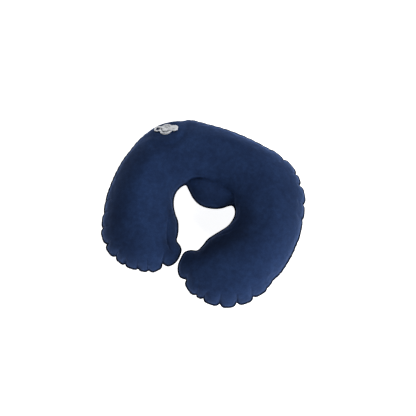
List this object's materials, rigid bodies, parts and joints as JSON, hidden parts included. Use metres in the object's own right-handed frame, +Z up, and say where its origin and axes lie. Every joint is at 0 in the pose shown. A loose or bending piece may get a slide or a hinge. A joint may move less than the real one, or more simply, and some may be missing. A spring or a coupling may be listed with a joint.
{
  "type": "inflatable neck pillow",
  "caption": "Inflated U-shaped travel neck pillow of flocked vinyl, welded at a flat rim, with a neck rest in the hole and a stoppered push-in valve on a shoulder.",
  "frame": {"origin": "under the middle of the inflated pillow, on the surface that it rests on", "axes": "+Z up, +X across both arms, +Y towards the back of the neck; the arms point to -Y"},
  "size_m": [0.3474, 0.3, 0.0981],
  "materials": {
    "flock": "short velvety flock",
    "clear_vinyl": "soft, glossy",
    "milky_vinyl": "soft, satin"
  },
  "bodies": {
    "pillow": {"upper_panel": "flock", "lower_panel": "flock", "valve_base": "clear_vinyl"},
    "stem": {"valve_stem": "clear_vinyl", "valve_web": "clear_vinyl", "tether_strap": "milky_vinyl"},
    "stopper": {"stopper": "milky_vinyl"},
    "tab": {"pull_tab": "milky_vinyl"},
    "flap": {"check_flap": "milky_vinyl"}
  },
  "joints": [
    {"name": "valve_pop", "type": "slide", "parent": "pillow", "child": "stem", "axis": [-0.3998, 0.3247, 0.8572], "range_m": [0, 0.009], "deforming": ["valve_web"]},
    {"name": "stopper_pull", "type": "slide", "parent": "stem", "child": "stopper", "axis": [-0.3998, 0.3247, 0.8572], "range_m": [0, 0.012], "deforming": ["tether_strap"]},
    {"name": "tab_lift", "type": "hinge", "parent": "stopper", "child": "tab", "pos_m": [-0.11285, 0.09887, 0.08775], "axis": [0.2457, -0.863, 0.4415], "range_deg": [0, 80]},
    {"name": "flap_open", "type": "hinge", "parent": "stem", "child": "flap", "pos_m": [-0.11647, 0.08971, 0.07186], "axis": [-0.2457, 0.863, -0.4415], "range_deg": [0, 60], "stiffness_Nm_per_rad": 0.00002, "springref_deg": -17.19}
  ]
}
